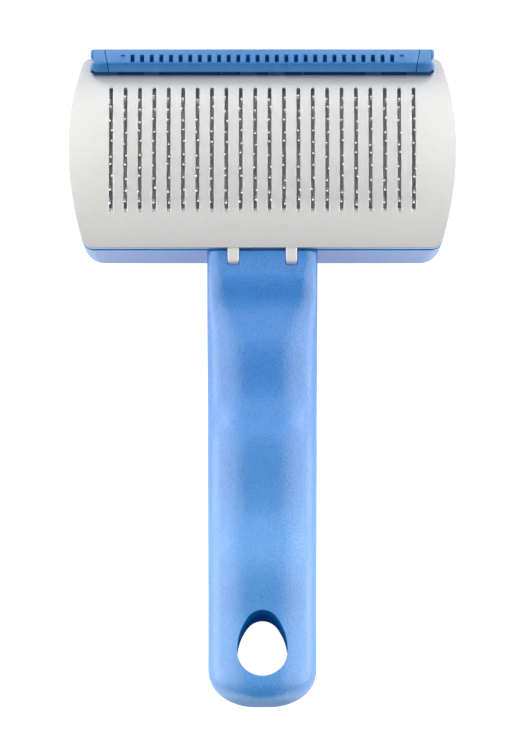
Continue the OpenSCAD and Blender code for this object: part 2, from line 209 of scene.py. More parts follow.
def useGroup(piece, tree, values, sharp=35):
    # runs a geometry group on a piece and keeps the plain mesh
    step = piece.modifiers.new(tree.name, "NODES")
    step.node_group = tree
    for item in tree.interface.items_tree:
        if item.in_out == "INPUT" and item.name in values:
            step[item.identifier] = values[item.name]
    settle(piece, sharp)


def math1(tree, operation, a, b=0.0):
    return addNode(tree, "ShaderNodeMath", {0: a, 1: b}, operation=operation).outputs[0]


def spread(tree, value, over=(0.0, 1.0), to=(0.0, 1.0), eased=False):
    # carries a value from one range to another
    return addNode(
        tree,
        "ShaderNodeMapRange",
        {"Value": value, "From Min": over[0], "From Max": over[1], "To Min": to[0], "To Max": to[1]},
        interpolation_type="SMOOTHSTEP" if eased else "LINEAR",
    ).outputs[0]


def noise(tree, place, scale, detail, roughness=0.5):
    return addNode(
        tree,
        "ShaderNodeTexNoise",
        {"Vector": place, "Scale": scale, "Detail": detail, "Roughness": roughness},
    ).outputs["Fac"]


def bumped(tree, height, depth):
    return addNode(
        tree, "ShaderNodeBump", {"Strength": 1.0, "Distance": depth, "Height": height}
    ).outputs["Normal"]


def mixed(tree, share, first, second):
    # a colour between two colours
    return addNode(
        tree, "ShaderNodeMix", {0: share, 6: first, 7: second}, data_type="RGBA"
    ).outputs[2]


def setMaterial(tree, geometry, material):
    return addNode(
        tree, "GeometryNodeSetMaterial", {"Geometry": geometry, "Material": material}
    ).outputs[0]


# Shared surface effects

grain = {
    "detail": 3.0,
    "roughness": 0.6,
    "broadScale": 70.0,
    "calm": (0.4, 0.6),
    "calmShare": 0.12,
    "mottle": (0.3, 0.7),
}


def makeGrainGroup():
    # along Y the colour fades to a second pair, which is painted light where a finish uses it, and the
    # bumps fade to a calm, smooth skin
    tree, given, result = newGroup(
        "Moulded grain",
        "ShaderNodeTree",
        [
            (name, "NodeSocketFloat")
            for name in ("Scale", "Depth", "Fade start", "Fade end", "Smooth start", "Smooth end")
        ],
        [("Normal", "NodeSocketVector"), ("Mask", "NodeSocketFloat"), ("Fade", "NodeSocketFloat")],
    )
    place = addNode(tree, "ShaderNodeTexCoord").outputs["Object"]
    along = addNode(tree, "ShaderNodeSeparateXYZ", {0: place}).outputs["Y"]
    fade, smooth = [
        spread(tree, along, over=(given[part + " start"], given[part + " end"]), eased=True)
        for part in ("Fade", "Smooth")
    ]
    fine = noise(tree, place, given["Scale"], grain["detail"], grain["roughness"])
    broad = noise(tree, place, grain["broadScale"], grain["detail"])
    calm = spread(tree, broad, to=grain["calm"])
    calmShare = spread(tree, smooth, to=(grain["calmShare"], 1.0))
    blend = addNode(tree, "ShaderNodeMix", {0: calmShare, 2: fine, 3: calm}).outputs[0]
    depth = math1(tree, "MULTIPLY", given["Depth"], math1(tree, "SUBTRACT", 1.0, smooth))
    tree.links.new(bumped(tree, fine, depth), result["Normal"])
    tree.links.new(spread(tree, blend, over=grain["mottle"]), result["Mask"])
    tree.links.new(fade, result["Fade"])
    return tree


def makeBrushedGroup():
    tree, given, result = newGroup(
        "Brushed metal",
        "ShaderNodeTree",
        [("Stretch", "NodeSocketVector"), ("Depth", "NodeSocketFloat")],
        [("Normal", "NodeSocketVector"), ("Mask", "NodeSocketFloat")],
    )
    place = addNode(tree, "ShaderNodeTexCoord").outputs["Object"]
    lines = addNode(
        tree, "ShaderNodeVectorMath", {0: place, 1: given["Stretch"]}, operation="MULTIPLY"
    ).outputs[0]
    streak = noise(tree, lines, scale=1.0, detail=5.0)
    tree.links.new(bumped(tree, streak, given["Depth"]), result["Normal"])
    tree.links.new(streak, result["Mask"])
    return tree


grainGroup = makeGrainGroup()
brushedGroup = makeBrushedGroup()

# Colours and roughness run from the first value to the second over the effect's mask.
# An effect's places and depths are in metres.
finishes = {
    "blue": {
        "effect": {
            "Scale": 1900.0,
            "Depth": 0.00012,
            "Fade start": 0.004,
            "Fade end": -0.052,
            "Smooth start": 0.029,
            "Smooth end": 0.036,
        },
        "colours": [(0.000, 0.165, 0.565), (0.006, 0.275, 0.805)],
        # lighter colours towards the handle's end: painted light, standing in for the light and sheen
        # there
        "endLight": [(0.030, 0.260, 0.680), (0.085, 0.380, 0.930)],
        "rough": (0.27, 0.33),
        "fixed": {"Specular IOR Level": 1.0, "IOR": 1.74},
    },
    # a darker copy of the blue plastic: painted shade on the rail
    "rail": {
        "effect": {"Scale": 3200.0, "Depth": 0.00003},
        "colours": [(0.006, 0.160, 0.450), (0.014, 0.205, 0.550)],
        "rough": (0.30, 0.40),
        "fixed": {"Specular IOR Level": 0.6, "IOR": 1.82},
    },
    # darker blue with little shine: painted shade for the rail's foot and pocket floors, and the seams'
    # dark joints
    "railFootShade": {
        "effect": {"Scale": 3200.0, "Depth": 0.00003},
        "colours": [(0.002, 0.044, 0.150), (0.006, 0.064, 0.220)],
        "rough": (0.60, 0.75),
        "fixed": {"Specular IOR Level": 0.1},
    },
    # painted shade for the hang hole's wall and the strip under the plate's near edge
    "shadeBlue": {
        "effect": {"Scale": 1900.0, "Depth": 0.00003},
        "colours": [(0.000, 0.195, 0.520), (0.003, 0.250, 0.640)],
        "rough": (0.60, 0.75),
        "fixed": {"Specular IOR Level": 0.1},
    },
    "grey": {
        "effect": {"Scale": 1800.0, "Depth": 0.00005},
        "colours": [(0.26, 0.28, 0.31), (0.34, 0.36, 0.39)],
        "rough": (0.45, 0.60),
    },
    "rubber": {
        "effect": {"Scale": 1400.0, "Depth": 0.0001},
        "colours": [(0.74, 0.745, 0.735), (0.86, 0.865, 0.855)],
        "rough": (0.65, 0.85),
    },
    "plate": {
        "effect": {"Stretch": (700.0, 4200.0, 4200.0), "Depth": 0.000003},
        "colours": [(0.88, 0.875, 0.865), (0.985, 0.98, 0.97)],
        "rough": (0.52, 0.61),
        "fixed": {"Metallic": 1.0},
    },
    # darker bluish steel for the sheet's edge: partly its own tone, partly painted shade
    "cutEdgeShade": {
        "effect": {"Stretch": (900.0, 900.0, 5000.0), "Depth": 0.000006},
        "colours": [(0.42, 0.47, 0.54), (0.56, 0.61, 0.68)],
        "rough": (0.45, 0.60),
        "fixed": {"Metallic": 1.0},
    },
    "wire": {
        "effect": {"Stretch": (4000.0, 4000.0, 300.0), "Depth": 0.000003},
        "colours": [(0.74, 0.74, 0.74), (0.90, 0.90, 0.90)],
        "rough": (0.14, 0.26),
        "fixed": {"Metallic": 1.0},
    },
    "bright": {
        "effect": {"Stretch": (3000.0, 3000.0, 3000.0), "Depth": 0.000005},
        "colours": [(0.58, 0.58, 0.60), (0.70, 0.70, 0.72)],
        "rough": (0.22, 0.36),
        "fixed": {"Metallic": 1.0},
    },
}


def newMaterial(name, group, finish):
    # painted light: the end-light colours, where a finish has them, come in with the effect's fade
    material = bpy.data.materials.new(name)
    material.use_nodes = True
    tree = material.node_tree
    shader = tree.nodes["Principled BSDF"]
    effect = addNode(tree, "ShaderNodeGroup", node_tree=group)
    for key, value in finish["effect"].items():
        effect.inputs[key].default_value = value
    mask = effect.outputs["Mask"]
    colour = mixed(tree, mask, *[(*c, 1) for c in finish["colours"]])
    if "endLight" in finish:
        litColour = mixed(tree, mask, *[(*c, 1) for c in finish["endLight"]])
        colour = mixed(tree, effect.outputs["Fade"], colour, litColour)
    tree.links.new(colour, shader.inputs["Base Color"])
    tree.links.new(spread(tree, mask, to=finish["rough"]), shader.inputs["Roughness"])
    tree.links.new(effect.outputs["Normal"], shader.inputs["Normal"])
    for key, value in finish.get("fixed", {}).items():
        shader.inputs[key].default_value = value
    return material


bluePlastic = newMaterial("Blue plastic", grainGroup, finishes["blue"])
railShadedPlastic = newMaterial("Blue rail plastic", grainGroup, finishes["rail"])
railFootShade = newMaterial("Blue rail foot", grainGroup, finishes["railFootShade"])
shadePlastic = newMaterial("Dull blue wall", grainGroup, finishes["shadeBlue"])
greyPlastic = newMaterial("Grey plastic", grainGroup, finishes["grey"])
padRubber = newMaterial("Pad rubber", grainGroup, finishes["rubber"])
plateSteel = newMaterial("Satin plate steel", brushedGroup, finishes["plate"])
cutSteelShade = newMaterial("Cut steel edge", brushedGroup, finishes["cutEdgeShade"])
pinWire = newMaterial("Pin wire", brushedGroup, finishes["wire"])
brightSteel = newMaterial("Bright steel", brushedGroup, finishes["bright"])
print("stage: materials")

# Body: tray and handle in one moulding

handle = {
    "length": 123.1,
    "width": [(14, 29.8), (50, 29.4), (100, 29.1)],
    "front": [
        (7, 19.7), (15.9, 17.8), (26.2, 18.8), (40.1, 17.0),
        (52.6, 18.7), (72.1, 16.0), (87.3, 17.8), (103.1, 15.5),
    ],
    "sideWidth": [(0, 3.5), (11, 5.0), (26, 11.5)],
    "sideDrop": 0.62,
    "backCorner": 5.0,
    "palm": (10.0, 105.1),
    "palmRise": 2.0,
    "endRound": 10.3,
    "endPowers": (2.2, 3.2),
    "stations": 170,
    "endRings": 26,
    "backSteps": 12,
    "frontSteps": 14,
    "sideSteps": 6,
    "faceSteps": 22,
}
tray = {
    "inset": 0.05,
    "wall": 2.2,
    "floor": 2.4,
    "backRound": 3.0,
    "backCorner": 3.0,
    "sideDraft": 1.1,
    "rimRadius": 68.2,
    "rimBevel": 0.25,
    "stripDrop": 3.0,
}
hole = {"y": -75.7, "radius": 6.7, "topRadius": 4.9, "run": 6.2, "sideRadius": 14.0, "flare": 0.2}
hinge = {
    "y": 31.25,
    "z": 18.05,
    "tabX": 7.85,
    "tabWidth": 3.0,
    "tabRound": 0.25,
    "tabDrop": 0.56,
    "tabLap": 0.9,
    "curl": 1.75,
    "curlEnd": 335,
    "slack": 0.12,
}
cover = {
    "width": 20.0,
    "start": 13.0,
    "end": 92.0,
    "inner": 4.4,
    "gap": 0.15,
    "seatGap": 0.05,
    "screws": [24.0, 81.0],
}
screw = {
    "shank": 2.4,
    "head": 4.8,
    "headHeight": 1.2,
    "length": 8.0,
    "recess": 5.2,
    "seat": 1.0,
    "fromMiddle": (33.85, 11.98),
    "dome": [(0.6, 1.0), (0.85, 0.9), (1.0, 0.62)],  # shares of the head's radius and height
    "cross": (1.45, 0.3),
    "crossZ": (-3.0, -0.5),
    "turns": 10,
    "crest": 0.2,
    "root": (0.82, 0.1),
    "point": (0.8, 0.3),
    "mostTurn": 1.5,  # radians
}
underZ = -2.0  # cutters start under the back


def frontZ(s):
    return track(handle["front"], s)


def backZ(s):
    s0, s1 = handle["palm"]
    if s <= s0 or s >= s1:
        return 0.0
    return handle["palmRise"] * math.sin(math.pi * (s - s0) / (s1 - s0)) ** 2


def handleSection(s):
    hw = track(handle["width"], s) / 2
    zf, zb, b = frontZ(s), backZ(s), handle["backCorner"]
    fw = track(handle["sideWidth"], s)
    fh = fw * handle["sideDrop"]
    backSteps, frontSteps = handle["backSteps"], handle["frontSteps"]
    corners = [
        arc(hw - b, zb + b, b, b, -90, 0, backSteps),
        arc(hw - fw, zf - fh, fw, fh, 0, 90, frontSteps),
        arc(fw - hw, zf - fh, fw, fh, 90, 180, frontSteps),
        arc(b - hw, zb + b, b, b, 180, 270, backSteps),
    ]
    counts = (handle["sideSteps"], handle["faceSteps"]) * 2
    ring = []
    for corner, after, count in zip(corners, corners[1:] + corners[:1], counts):
        ring += corner + between(corner[-1], after[0], count)
    return ring


def shrink(t, power):
    return (1 - t**power) ** (1 / power)


def handleShape():
    s0, s1 = -tray["wall"], handle["length"] - handle["endRound"]
    rings = []
    for i in range(handle["stations"] + 1):
        s = s0 + (s1 - s0) * i / handle["stations"]
        rings.append([(x, head["nearY"] - s, z) for x, z in handleSection(s)])
    mid = (frontZ(s1) + backZ(s1)) / 2
    last = 0.993  # the end stays a small flat
    for i in range(1, handle["endRings"] + 1):
        t = last * math.sin(math.pi / 2 * i / handle["endRings"])
        kx, kz = [shrink(t, power) for power in handle["endPowers"]]
        y = head["nearY"] - s1 - handle["endRound"] * t / last
        rings.append([(x * kx, y, mid + (z - mid) * kz) for x, z in handleSection(s1)])
    return loft(rings)


def trayShape():
    i0, b, w, e = tray["inset"], tray["backRound"], tray["wall"], tray["rimBevel"]
    i1 = i0 + w
    ease = 0.3 * e
    steps = 8
    # inset, height, drop below the rim's arch, share of the back's narrowing
    levels = []
    for i in range(steps + 1):
        a = math.pi / 2 * (1 - i / steps)
        levels.append((i0 + b * (1 - math.cos(a)), b * (1 - math.sin(a)), 0, 1))
    strip = tray["stripDrop"]
    levels += [(i0, head["edgeZ"] - strip, 0, strip / (head["edgeZ"] - b))]
    levels += [(i0, None, e, 0), (i0 + ease, None, ease, 0), (i0 + e, None, 0, 0)]
    levels += [(i1 - e, None, 0, 0), (i1 - ease, None, ease, 0), (i1, None, e, 0)]
    levels += [(i1, tray["floor"], 0, 0)]
    rings = []
    for inset, z, drop, share in levels:
        narrow = 1 - share * tray["sideDraft"] / (head["width"] / 2)
        ring = headOutline(inset, share * tray["backCorner"])
        rings.append(
            [(x * narrow, y, archHeight(tray["rimRadius"], y) - drop if z is None else z) for x, y in ring]
        )
    return loft(rings)


def eggOutline(grow):
    r, top, side = hole["radius"], hole["topRadius"], hole["sideRadius"]
    run = hole["run"]
    bowY = ((side - r) ** 2 - (side - top) ** 2 + run**2) / (2 * run)
    bowX = math.sqrt((side - r) ** 2 - bowY**2)
    low = math.degrees(math.atan2(-bowY, bowX))
    high = math.degrees(math.atan2(run - bowY, bowX))
    sideSteps, topSteps, lowSteps = 14, 20, 32
    r, top, side = r + grow, top + grow, side + grow
    ring = arc(-bowX, bowY, side, side, low, high, sideSteps)
    ring += arc(0, run, top, top, high, 180 - high, topSteps)[1:]
    ring += arc(bowX, bowY, side, side, 180 - high, 180 - low, sideSteps)[1:]
    ring += arc(0, 0, r, r, 180 - low, 360 + low, lowSteps)[1:-1]
    return [(x, hole["y"] + y) for x, y in ring]


def holeCutter():
    # follows the handle's front and back with a rounded rim
    f, steps = hole["flare"], 6
    widen, clear, above = 0.5, 2.0, 0.3  # its mouth outside the handle
    turns = [math.pi / 2 * i / steps for i in range(steps + 1)]
    curve = [(f + widen, -clear), (f, -above)]
    curve += [(f * (1 - math.sin(a)), f * (1 - math.cos(a))) for a in turns]
    levels = [(grow, deep, False) for grow, deep in curve]
    levels += [(grow, deep, True) for grow, deep in reversed(curve)]
    rings = []
    for grow, deep, onFront in levels:
        ring = []
        for x, y in eggOutline(grow):
            s = head["nearY"] - y
            ring.append((x, y, frontZ(s) - deep if onFront else backZ(s) + deep))
        rings.append(ring)
    return loft(rings)


def disc(cx, cy, r, count=40):
    return [(cx + x, cy + y) for x, y in arc(0, 0, r, r, 0, 360, count)[:-1]]


def columnZ(outline, *zs):
    return loft([[(x, y, z) for x, y in outline] for z in zs])


def coverOutline(inset):
    r = cover["width"] / 2 - inset
    y0 = head["nearY"] - cover["end"] + cover["width"] / 2
    y1 = head["nearY"] - cover["start"] - cover["width"] / 2
    sideSteps, endSteps = 40, 24
    right = between((r, y0), (r, y1), sideSteps)
    left = [(-x, y) for x, y in reversed(right)]
    return arc(0, y1, r, r, 0, 180, endSteps) + left + arc(0, y0, r, r, 180, 360, endSteps) + right


baseX, baseY = screw["fromMiddle"]
baseScrews = [(sx * baseX, headY + sy * baseY) for sx in (-1, 1) for sy in (-1, 1)]
coverScrews = [(0.0, head["nearY"] - s) for s in cover["screws"]]
baseHeadZ = tray["floor"] - screw["seat"]
coverHeadZ = cover["inner"] - screw["seat"]


def headSeats(places, top):
    rings = [disc(x, y, screw["recess"] / 2) for x, y in places]
    return [newPiece("headSeat", columnZ(ring, underZ, top)) for ring in rings]


def aboveRim():
    # everything over the arch of the rim, from just before the head to just behind it
    before, behind = 0.6, 4
    nearY, backY = head["nearY"] - before, head["nearY"] + head["length"] + behind
    halfX, topZ, steps = 80, 60, 40
    ys = [nearY + (backY - nearY) * i / steps for i in range(steps + 1)]
    arch = [(y, archHeight(tray["rimRadius"], y)) for y in ys]
    return newPiece("above", barX((-halfX, halfX), arch + [(backY, topZ), (nearY, topZ)]))


def tabSlot(sx):
    r, steps, topZ, past = 0.5, 5, 40, 0.4
    reach = hinge["curl"] + hinge["slack"]
    half = hinge["tabWidth"] / 2 + hinge["slack"]
    cx = sx * hinge["tabX"]
    y0, y1 = hinge["y"] - reach, head["nearY"] + tray["wall"] + past
    outline = arc(cx - half + r, y0 + r, r, r, 180, 270, steps)
    outline += arc(cx + half - r, y0 + r, r, r, 270, 360, steps)
    outline += [(cx + half, y1), (cx - half, y1)]
    return newPiece("tabSlot", columnZ(outline, hinge["z"] - reach, topZ))


def paintShade(piece):
    # painted shade: the wall of the hang hole and the strip under the plate's near edge get a darker blue
    # with little shine
    piece.data.materials.append(shadePlastic)
    margin, stripReach = 0.3, 2.0
    upright, toHandle = 0.5, -0.3  # limits of a face's direction
    wide = hole["radius"] + margin
    holeNear = hole["y"] - hole["radius"] - margin
    holeFar = hole["y"] + hole["run"] + hole["topRadius"] + margin
    handleX = handle["width"][0][1] / 2
    for face in piece.data.polygons:
        x, y, z = face.center / mm
        inHole = abs(x) < wide and holeNear < y < holeFar and abs(face.normal.z) < upright
        high = z > head["edgeZ"] - tray["stripDrop"] and abs(x) > handleX
        inStrip = high and abs(y - head["nearY"]) < stripReach and face.normal.y < toHandle
        if inHole or inStrip:
            face.material_index = 1


def makeBody():
    body = newPiece("brushBody", handleShape(), bluePlastic)
    carve(body, "DIFFERENCE", aboveRim())
    carve(body, "UNION", newPiece("tray", trayShape()))
    tabs = [tabSlot(sx) for sx in (-1, 1)]
    back = newPiece("coverSeat", columnZ(coverOutline(0), underZ, cover["inner"]))
    heads = headSeats(baseScrews, baseHeadZ)
    carve(body, "DIFFERENCE", *tabs, back, *heads, newPiece("hangHole", holeCutter()))
    paintShade(body)
    return body


def makeCover():
    panel = columnZ(coverOutline(cover["gap"]), underZ, cover["inner"] - cover["seatGap"])
    piece = newPiece("backCover", panel, bluePlastic)
    carve(piece, "INTERSECT", newPiece("handleForm", handleShape()))
    carve(piece, "DIFFERENCE", *headSeats(coverScrews, coverHeadZ))
    return piece


brushBody = makeBody()
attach(brushBody, "body")
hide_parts("body_shell")
backCover = makeCover()
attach(backCover, "body")
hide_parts("handle_cover")
print("stage: body and cover")


# Rows of equal cuts, for the plate's slots and the rail's notches

def makeCutRow():
    tree, given, result = newGroup(
        "Row of cuts",
        "GeometryNodeTree",
        [
            ("Geometry", "NodeSocketGeometry"),
            ("Cutter", "NodeSocketObject"),
            ("Count", "NodeSocketInt"),
            ("Pitch", "NodeSocketFloat"),
            ("Material", "NodeSocketMaterial"),
        ],
        [("Geometry", "NodeSocketGeometry")],
    )
    gaps = math1(tree, "SUBTRACT", given["Count"], 1.0)
    start = math1(tree, "MULTIPLY", math1(tree, "MULTIPLY", gaps, given["Pitch"]), -0.5)
    first = addNode(tree, "ShaderNodeCombineXYZ", {"X": start}).outputs[0]
    step = addNode(tree, "ShaderNodeCombineXYZ", {"X": given["Pitch"]}).outputs[0]
    line = addNode(
        tree,
        "GeometryNodeMeshLine",
        {"Count": given["Count"], "Start Location": first, "Offset": step},
        mode="OFFSET",
        count_mode="TOTAL",
    ).outputs[0]
    cutter = addNode(tree, "GeometryNodeObjectInfo", {"Object": given["Cutter"]}).outputs["Geometry"]
    copies = addNode(tree, "GeometryNodeInstanceOnPoints", {"Points": line, "Instance": cutter}).outputs[0]
    solid = addNode(tree, "GeometryNodeRealizeInstances", {"Geometry": copies}).outputs[0]
    carved = addNode(
        tree,
        "GeometryNodeMeshBoolean",
        {"Mesh 1": given["Geometry"], "Mesh 2": solid},
        operation="DIFFERENCE",
        solver="EXACT",
    ).outputs[0]
    tree.links.new(setMaterial(tree, carved, given["Material"]), result["Geometry"])
    return tree


cutRow = makeCutRow()

# Stripper plate with its slots and hinge tabs

slots = {
    "count": 22,
    "pitch": 3.89,
    "width": 1.05,
    "half": 17.4,
    "slope": 0.55,
    "depth": 2.4,
    "flare": 0.12,
}
plate = {"edge": 0.18, "columns": 72, "bowRows": 72, "cornerRows": 10}


def plateRows(inset):
    bow, bowX, r, cx, cy, turn = headArcs(inset)
    n, m = plate["bowRows"], plate["cornerRows"]
    upper = [(cy + r * math.sin(a), cx + r * math.cos(a)) for a in
             (math.radians(turn + (90 - turn) * i / m) for i in range(1, m + 1))]
    middle = [(bow * math.sin(a), bowX + bow * math.cos(a)) for a in
              (math.radians(turn * (2 * i / n - 1)) for i in range(n + 1))]
    return [(-y, w) for y, w in reversed(upper)] + middle + upper


def plateShape():
    edge, n = plate["edge"], plate["columns"]
    top, low = head["plateRadius"], head["plateRadius"] - head["plateThickness"]
    rows = len(plateRows(0))
    span = n + 1
    verts, faces = [], []

    def addGrid(inset, radius):
        start = len(verts)
        for y, w in plateRows(inset):
            for i in range(span):
                verts.append((w * (2 * i / n - 1), headY + y, archHeight(radius, headY + y)))
        return start

    rim = list(range(span)) + [r * span + n for r in range(1, rows)]
    rim += [(rows - 1) * span + i for i in range(n - 1, -1, -1)]
    rim += [r * span for r in range(rows - 2, 0, -1)]
    grids = [addGrid(edge, top), addGrid(0, top - edge), addGrid(0, low + edge), addGrid(edge, low)]
    for start in (grids[0], grids[3]):
        for r in range(rows - 1):
            for i in range(n):
                a = start + r * span + i
                faces.append((a, a + 1, a + span + 1, a + span))
    for low, high in zip(grids, grids[1:]):
        for a, b in zip(rim, rim[1:] + rim[:1]):
            faces.append((low + a, low + b, high + b, high + a))
    used = sorted({i for f in faces for i in f})
    place = {old: new for new, old in enumerate(used)}
    return [verts[i] for i in used], [tuple(place[i] for i in f) for f in faces]


def slotCutter():
    # the near end slopes down into the plate, and the far end is round
    half, r, f = slots["half"], slots["width"] / 2, slots["flare"]
    nearZ = archHeight(head["plateRadius"], headY - half)
    lead, steps, endFlat, endSteps = 0.6, 60, 0.002, 8
    leastWall, leastRise, clear = 0.02, 0.3, 1
    ys = [-half - lead + (2 * half - r + lead) * i / steps for i in range(steps + 1)]
    ys += [half - r + r * math.sin(math.pi / 2 * i / endSteps) for i in range(1, endSteps)]
    ys += [half - endFlat]
    rings = []
    for y in ys:
        reach = max(0, y - (half - r))
        w = math.sqrt(r * r - reach * reach)
        top = archHeight(head["plateRadius"], headY + y)
        low = max(nearZ - slots["slope"] * (y + half), top - slots["depth"])
        rim = max(top - f, low + leastWall)
        rise = max(top + f, low + leastRise)
        wide = w + 2 * f
        right = [(w, low), (w, rim), (wide, rise), (wide, rise + clear)]
        left = [(-x, z) for x, z in reversed(right)]
        rings.append([(x, headY + y, z) for x, z in left[-1:] + right + left[:-1]])
    return newPiece("slotCutter", loft(rings))


def sweep(path, section):
    # carries an (x, across) section along a (y, z) path
    rings = []
    for i, (y, z) in enumerate(path):
        (y0, z0), (y1, z1) = path[max(i - 1, 0)], path[min(i + 1, len(path) - 1)]
        size = math.hypot(y1 - y0, z1 - z0)
        ny, nz = -(z1 - z0) / size, (y1 - y0) / size
        rings.append([(x, y + ny * c, z + nz * c) for x, c in section])
    return loft(rings)


def tabShape(sx):
    t, w, r = head["plateThickness"], hinge["tabWidth"], hinge["tabRound"]
    hx, hc = w / 2 - r, t / 2 - r
    steps, acrossSteps, runSteps, curlSteps = 3, 16, 6, 22
    section = arc(hx, hc, r, r, 0, 90, steps) + arc(-hx, hc, r, r, 90, 180, steps)
    section += arc(-hx, -hc, r, r, 180, 270, steps)
    section += between((-hx, -t / 2), (hx, -t / 2), acrossSteps)
    section += arc(hx, -hc, r, r, 270, 360, steps)
    section = [(x + sx * hinge["tabX"], c) for x, c in section]
    startY = head["nearY"] + hinge["tabLap"]
    start = (startY, archHeight(head["plateRadius"] - t / 2, startY))
    edge = (head["nearY"], head["edgeZ"] - hinge["tabDrop"])
    # the tab runs straight from the plate's edge on to the curl
    rise, away = edge[1] - hinge["z"], edge[0] - hinge["y"]
    r = hinge["curl"] - t / 2
    touch = math.degrees(math.atan2(rise, away) + math.acos(r / math.hypot(rise, away)))
    curl = arc(hinge["y"], hinge["z"], r, r, touch, hinge["curlEnd"], curlSteps)
    return sweep([start, edge] + between(edge, curl[0], runSteps) + curl, section)


def paintRimShade(piece):
    # the sheared edge of the sheet, outside the slots and above the tabs, in a darker bluish steel: partly
    # the cut edge's own tone, partly painted shade
    margin, under, flatTilt = 1, 0.1, 0.9
    fieldX, fieldY = slots["pitch"] * slots["count"] / 2, slots["half"] + margin
    tabsEnd = head["nearY"] - under
    piece.data.materials.append(cutSteelShade)
    for face in piece.data.polygons:
        x, y, z = face.center / mm
        out = math.hypot(y - headY, z - archZ)
        tilt = (face.normal.y * (y - headY) + face.normal.z * (z - archZ)) / out
        beyond = abs(x) > fieldX or abs(y - headY) > fieldY
        if abs(tilt) < flatTilt and beyond and y > tabsEnd:
            face.material_index = 1


def makePlate():
    piece = newPiece("stripperPlate", plateShape(), plateSteel)
    cutter = slotCutter()
    useGroup(
        piece,
        cutRow,
        {
            "Cutter": cutter,
            "Count": slots["count"],
            "Pitch": slots["pitch"] * mm,
            "Material": plateSteel,
        },
    )
    drop(cutter)
    carve(piece, "UNION", *[newPiece("tab", tabShape(sx)) for sx in (-1, 1)])
    paintRimShade(piece)
    return piece


stripperPlate = makePlate()
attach(stripperPlate, "plate")
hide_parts("stripper_plate")
print("stage: plate")

# Grip rail on the plate's far edge, with an end cap at each end

rail = {
    "half": 42.2,
    "cap": 4.4,
    "capEnd": (1.3, 0.9),
    "capBevel": 0.25,
    "width": 7.55,
    "frontHeight": 2.3,
    "frontLean": 0.2,
    "frontRound": 0.35,
    "faceRun": 1.97,
    "ridgeRound": 0.6,
    "lipRadius": 1.4,
    "lipRise": 1.2,
    "lobeRadius": 1.5,
    "lobeFromRidge": (-0.65, -3.2),
    "lobeStart": 2.2,
    "lobeRound": 0.9,
    "lipRound": 0.8,
    "lipPeg": 0.985,  # share of the lip, inside its skin
    "over": 2.1,
    "skinGap": 0.05,
    "skirtZ": 16.5,
    "skirtGap": 0.35,
    "skirtBevel": 0.3,
    "shelfDrop": 0.2,
    "middleRise": 0.6,
    "seamSlant": 0.165,
    "seamBevel": 0.1,
    "seamGap": 0.05,
    "notches": 28,
    "notchPitch": 2.6,
    "notchWidth": 1.1,
    "notchDepth": 1.5,
    "notchRun": (0.05, 0.64),
    "notchFall": 1.1,
    "markDepth": 0.3,
    "pocketDepth": 2.0,
    "pocketRoof": 1.3,
    "pocketSill": 0.1,
    "pocketLintel": 0.45,
    "pockets": [(-1.5, 1.5), (6.0, 10.6), (11.2, 27.9), (32.2, 39.0)],
}
farY = head["nearY"] + head["length"] + rail["over"]
skinRadius = head["plateRadius"] + rail["skinGap"]
foot = (farY - rail["width"], archHeight(skinRadius, farY - rail["width"]))
frontRun = rail["frontLean"] * rail["frontHeight"]
frontEdge = (foot[0] + frontRun, foot[1] + rail["frontHeight"])
ridge = (frontEdge[0] + rail["faceRun"], frontEdge[1] + rail["faceRun"])
lip = (farY - rail["lipRadius"], head["edgeZ"] + rail["lipRise"])
lobeSpot = tuple(c + d for c, d in zip(ridge, rail["lobeFromRidge"]))
run, fall = lip[0] - ridge[0], ridge[1] - lip[1]
webTurn = math.atan2(run, fall) + math.asin(rail["lipRadius"] / math.hypot(run, fall))
webOut = (math.cos(webTurn), math.sin(webTurn))
webTop = tuple(c + rail["lipRadius"] * d for c, d in zip(lip, webOut))


def rounded(before, corner, after, radius, steps=6):
    # a corner eased by a curve that starts and ends the same distance from it
    ends = []
    for other in (before, after):
        size = math.hypot(other[0] - corner[0], other[1] - corner[1])
        ends.append([c + (o - c) * radius / size for c, o in zip(corner, other)])
    curve = []
    for i in range(steps + 1):
        t = i / steps
        curve.append(tuple(
            (1 - t) ** 2 * p + 2 * t * (1 - t) * c + t * t * q for p, c, q in zip(ends[0], corner, ends[1])
        ))
    return curve


def railOutline():
    edgeY = head["nearY"] + head["length"]
    nearEdge, skirtIn = edgeY + rail["skinGap"], edgeY + rail["skirtGap"]
    low, bevel, shelf = rail["skirtZ"], rail["skirtBevel"], head["edgeZ"] - rail["shelfDrop"]
    lipSteps, skinSteps = 10, 14
    footTurn, edgeTurn = [
        math.degrees(math.acos((y - headY) / skinRadius)) for y in (foot[0], nearEdge)
    ]
    ring = [foot] + rounded(foot, frontEdge, ridge, rail["frontRound"])
    ring += rounded(frontEdge, ridge, webTop, rail["ridgeRound"])
    ring += arc(*lip, rail["lipRadius"], rail["lipRadius"], math.degrees(webTurn), 0, lipSteps)
    ring += [(farY, low + bevel), (farY - bevel, low), (skirtIn, low)]
    ring += [(skirtIn, shelf), (nearEdge, shelf)]
    ring += arc(headY, archZ, skinRadius, skinRadius, edgeTurn, footTurn, skinSteps)[:-1]
    return ring


def railRing(x, slant, shrunk=0.0):
    # the rail's outline at x, leaning along X and drawn in for a bevel
    my, mz = (ridge[0] + lip[0]) / 2, lip[1] + rail["middleRise"]
    ring = []
    for y, z in railOutline():
        size = math.hypot(y - my, z - mz)
        k = 1 - shrunk / size
        ring.append((x + slant * (y - my), my + (y - my) * k, mz + (z - mz) * k))
    return ring


